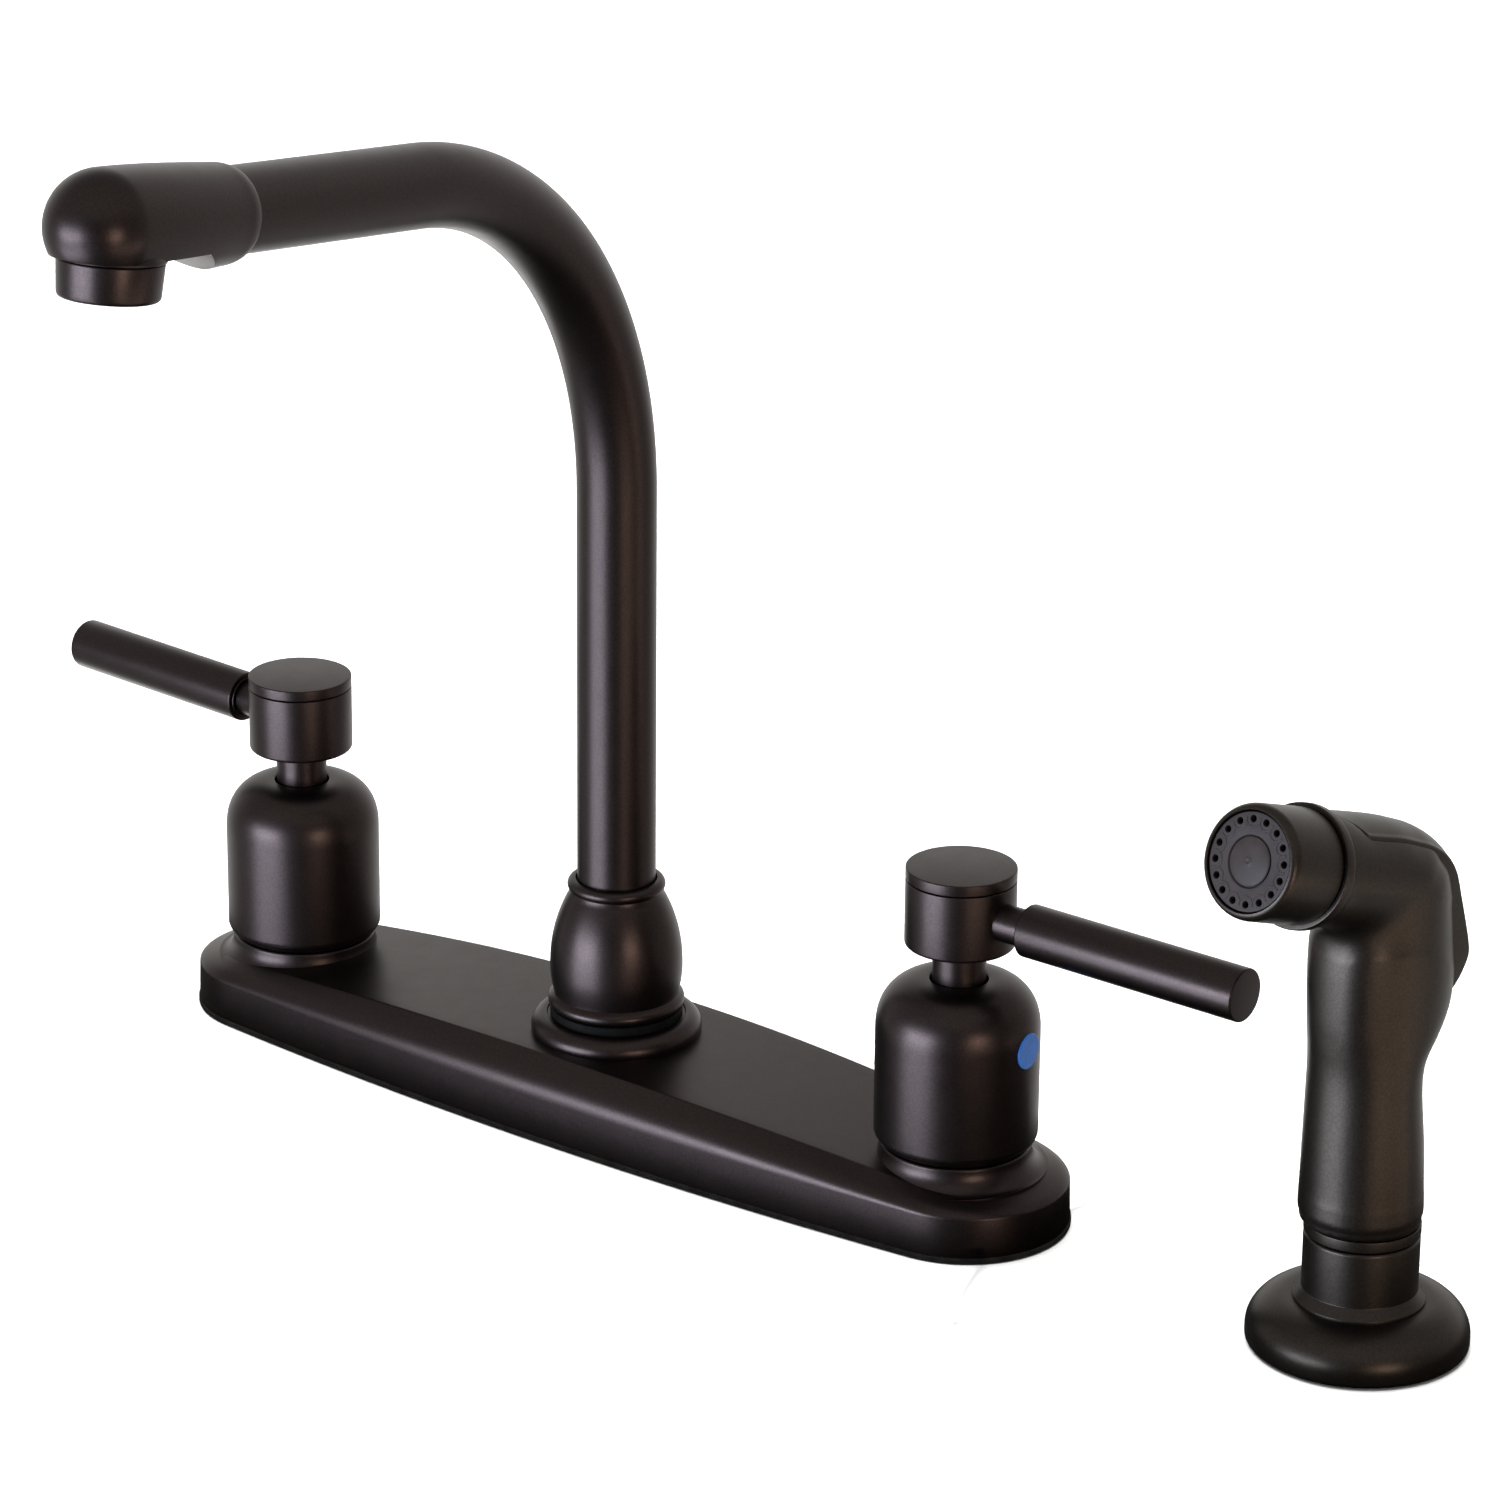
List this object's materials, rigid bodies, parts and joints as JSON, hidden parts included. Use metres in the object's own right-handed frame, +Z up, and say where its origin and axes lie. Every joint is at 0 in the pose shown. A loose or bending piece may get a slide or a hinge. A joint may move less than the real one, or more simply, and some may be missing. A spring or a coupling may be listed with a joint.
{
  "type": "two handle kitchen faucet",
  "caption": "Kitchen faucet on a long deck plate: two turning lever handles on domed bells, a tall swivelling bent spout with an aerator and a side sprayer with a trigger.",
  "frame": {"origin": "on the deck surface, under the spout's swivel axis", "axes": "+Z up, +X towards the cold handle and the sprayer, -Y towards the user"},
  "size_m": [0.4153, 0.2299, 0.3355],
  "materials": {
    "bronze": "satin dark bronze plating over brass",
    "brass": "bare machined brass",
    "steel": "plain stainless steel",
    "rubber": "matt black",
    "black_plastic": "satin black moulding",
    "white_plastic": "plain white moulding",
    "ceramic": "polished ceramic",
    "sprayer_plastic": "satin dark bronze moulding",
    "face_plastic": "satin purple-brown moulding",
    "hot_mark": "red",
    "cold_mark": "blue"
  },
  "bodies": {
    "base": {"deck_plate": "bronze", "deck_gasket": "rubber", "spout_hub_body": "brass", "spray_hose_nipple": "brass", "spray_diverter": "white_plastic", "spout_base_ring": "black_plastic", "spout_nut": "bronze", "spout_bushing": "white_plastic", "sprayer_flange": "sprayer_plastic", "sprayer_holder": "sprayer_plastic", "sprayer_locknut": "black_plastic", "hot_valve_body": "brass", "hot_seat_seal": "rubber", "hot_fixed_disc": "ceramic", "hot_cartridge_body": "white_plastic", "hot_bonnet_nut": "brass", "hot_shank_washer": "steel", "hot_locknut": "brass", "hot_bell": "bronze", "hot_index_disc": "hot_mark", "hot_crossover_tube": "brass", "cold_valve_body": "brass", "cold_seat_seal": "rubber", "cold_fixed_disc": "ceramic", "cold_cartridge_body": "white_plastic", "cold_bonnet_nut": "brass", "cold_shank_washer": "steel", "cold_locknut": "brass", "cold_bell": "bronze", "cold_index_disc": "cold_mark", "cold_crossover_tube": "brass"},
    "spout": {"spout_tube": "bronze", "spout_head": "bronze", "aerator_housing": "bronze", "aerator_insert": "black_plastic", "spout_collar": "brass", "spout_o_ring_upper": "rubber", "spout_o_ring_lower": "rubber"},
    "hot_handle": {"hot_handle_hub": "bronze", "hot_handle_cap": "bronze", "hot_handle_screw": "steel", "hot_cartridge_stem": "brass", "hot_moving_disc": "ceramic", "hot_lever_rod": "bronze", "hot_lever_grip": "bronze"},
    "cold_handle": {"cold_handle_hub": "bronze", "cold_handle_cap": "bronze", "cold_handle_screw": "steel", "cold_cartridge_stem": "brass", "cold_moving_disc": "ceramic", "cold_lever_rod": "bronze", "cold_lever_grip": "bronze"},
    "hose_end": {"sprayer_coupling": "sprayer_plastic"},
    "handset": {"sprayer_body": "sprayer_plastic", "trigger_pin": "steel", "plunger_spring": "steel", "spray_cap": "sprayer_plastic", "spray_face": "face_plastic"},
    "trigger": {"sprayer_trigger": "sprayer_plastic"},
    "plunger": {"valve_plunger": "brass"}
  },
  "joints": [
    {"name": "spout_swivel", "type": "hinge", "parent": "base", "child": "spout", "pos_m": [0, 0, 0.04], "axis": [0, 0, 1], "continuous": true},
    {"name": "hot_turn", "type": "hinge", "parent": "base", "child": "hot_handle", "pos_m": [-0.1016, 0, 0.05], "axis": [0, 0, 1], "range_deg": [0, 90]},
    {"name": "cold_turn", "type": "hinge", "parent": "base", "child": "cold_handle", "pos_m": [0.1016, 0, 0.05], "axis": [0, 0, 1], "range_deg": [-90, 0]},
    {"name": "sprayer_lift", "type": "slide", "parent": "base", "child": "hose_end", "axis": [0, 0, 1], "range_m": [0, 0.06]},
    {"name": "sprayer_turn", "type": "hinge", "parent": "hose_end", "child": "handset", "pos_m": [0.21, 0.0038, 0.03], "axis": [0, 0, 1], "continuous": true},
    {"name": "trigger_press", "type": "hinge", "parent": "handset", "child": "trigger", "pos_m": [0.20861, -0.0061, 0.1213], "axis": [-0.9903, 0.1392, 0], "range_deg": [0, 5], "stiffness_Nm_per_rad": 0.5, "springref_deg": -5.73},
    {"name": "plunger_push", "type": "slide", "parent": "handset", "child": "plunger", "axis": [0, 0, -1], "range_m": [0, 0.0017], "deforming": ["plunger_spring"]}
  ],
  "couplings": [
    {"joint": "plunger_push", "follows": "trigger_press", "m_per_rad": 0.0183}
  ]
}
